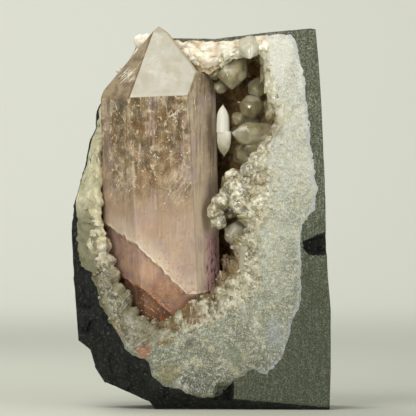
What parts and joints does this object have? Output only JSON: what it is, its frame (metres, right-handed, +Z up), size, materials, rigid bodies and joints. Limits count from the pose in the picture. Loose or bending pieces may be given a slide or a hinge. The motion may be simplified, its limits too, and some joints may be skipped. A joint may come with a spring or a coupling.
{
  "type": "skeletal amethyst",
  "caption": "Large stepped amethyst crystal standing in a quartz-lined hollow of a broken and sawn block of basalt.",
  "frame": {"origin": "on the flat base that the block stands on, below the middle of the lined hollow", "axes": "+Z up along the length of the block and of the crystal, -Y out of the sawn face towards the viewer, +X to the viewer's right"},
  "size_m": [0.0703, 0.044, 0.1042],
  "materials": {
    "amethyst": "gloss",
    "clear_quartz": "gloss",
    "white_quartz": "matte",
    "basalt": "matte"
  },
  "bodies": {
    "root": {"amethyst_crystal": "amethyst", "vug_crystals": "clear_quartz", "quartz_lining": "white_quartz", "basalt_matrix": "basalt"}
  },
  "joints": []
}
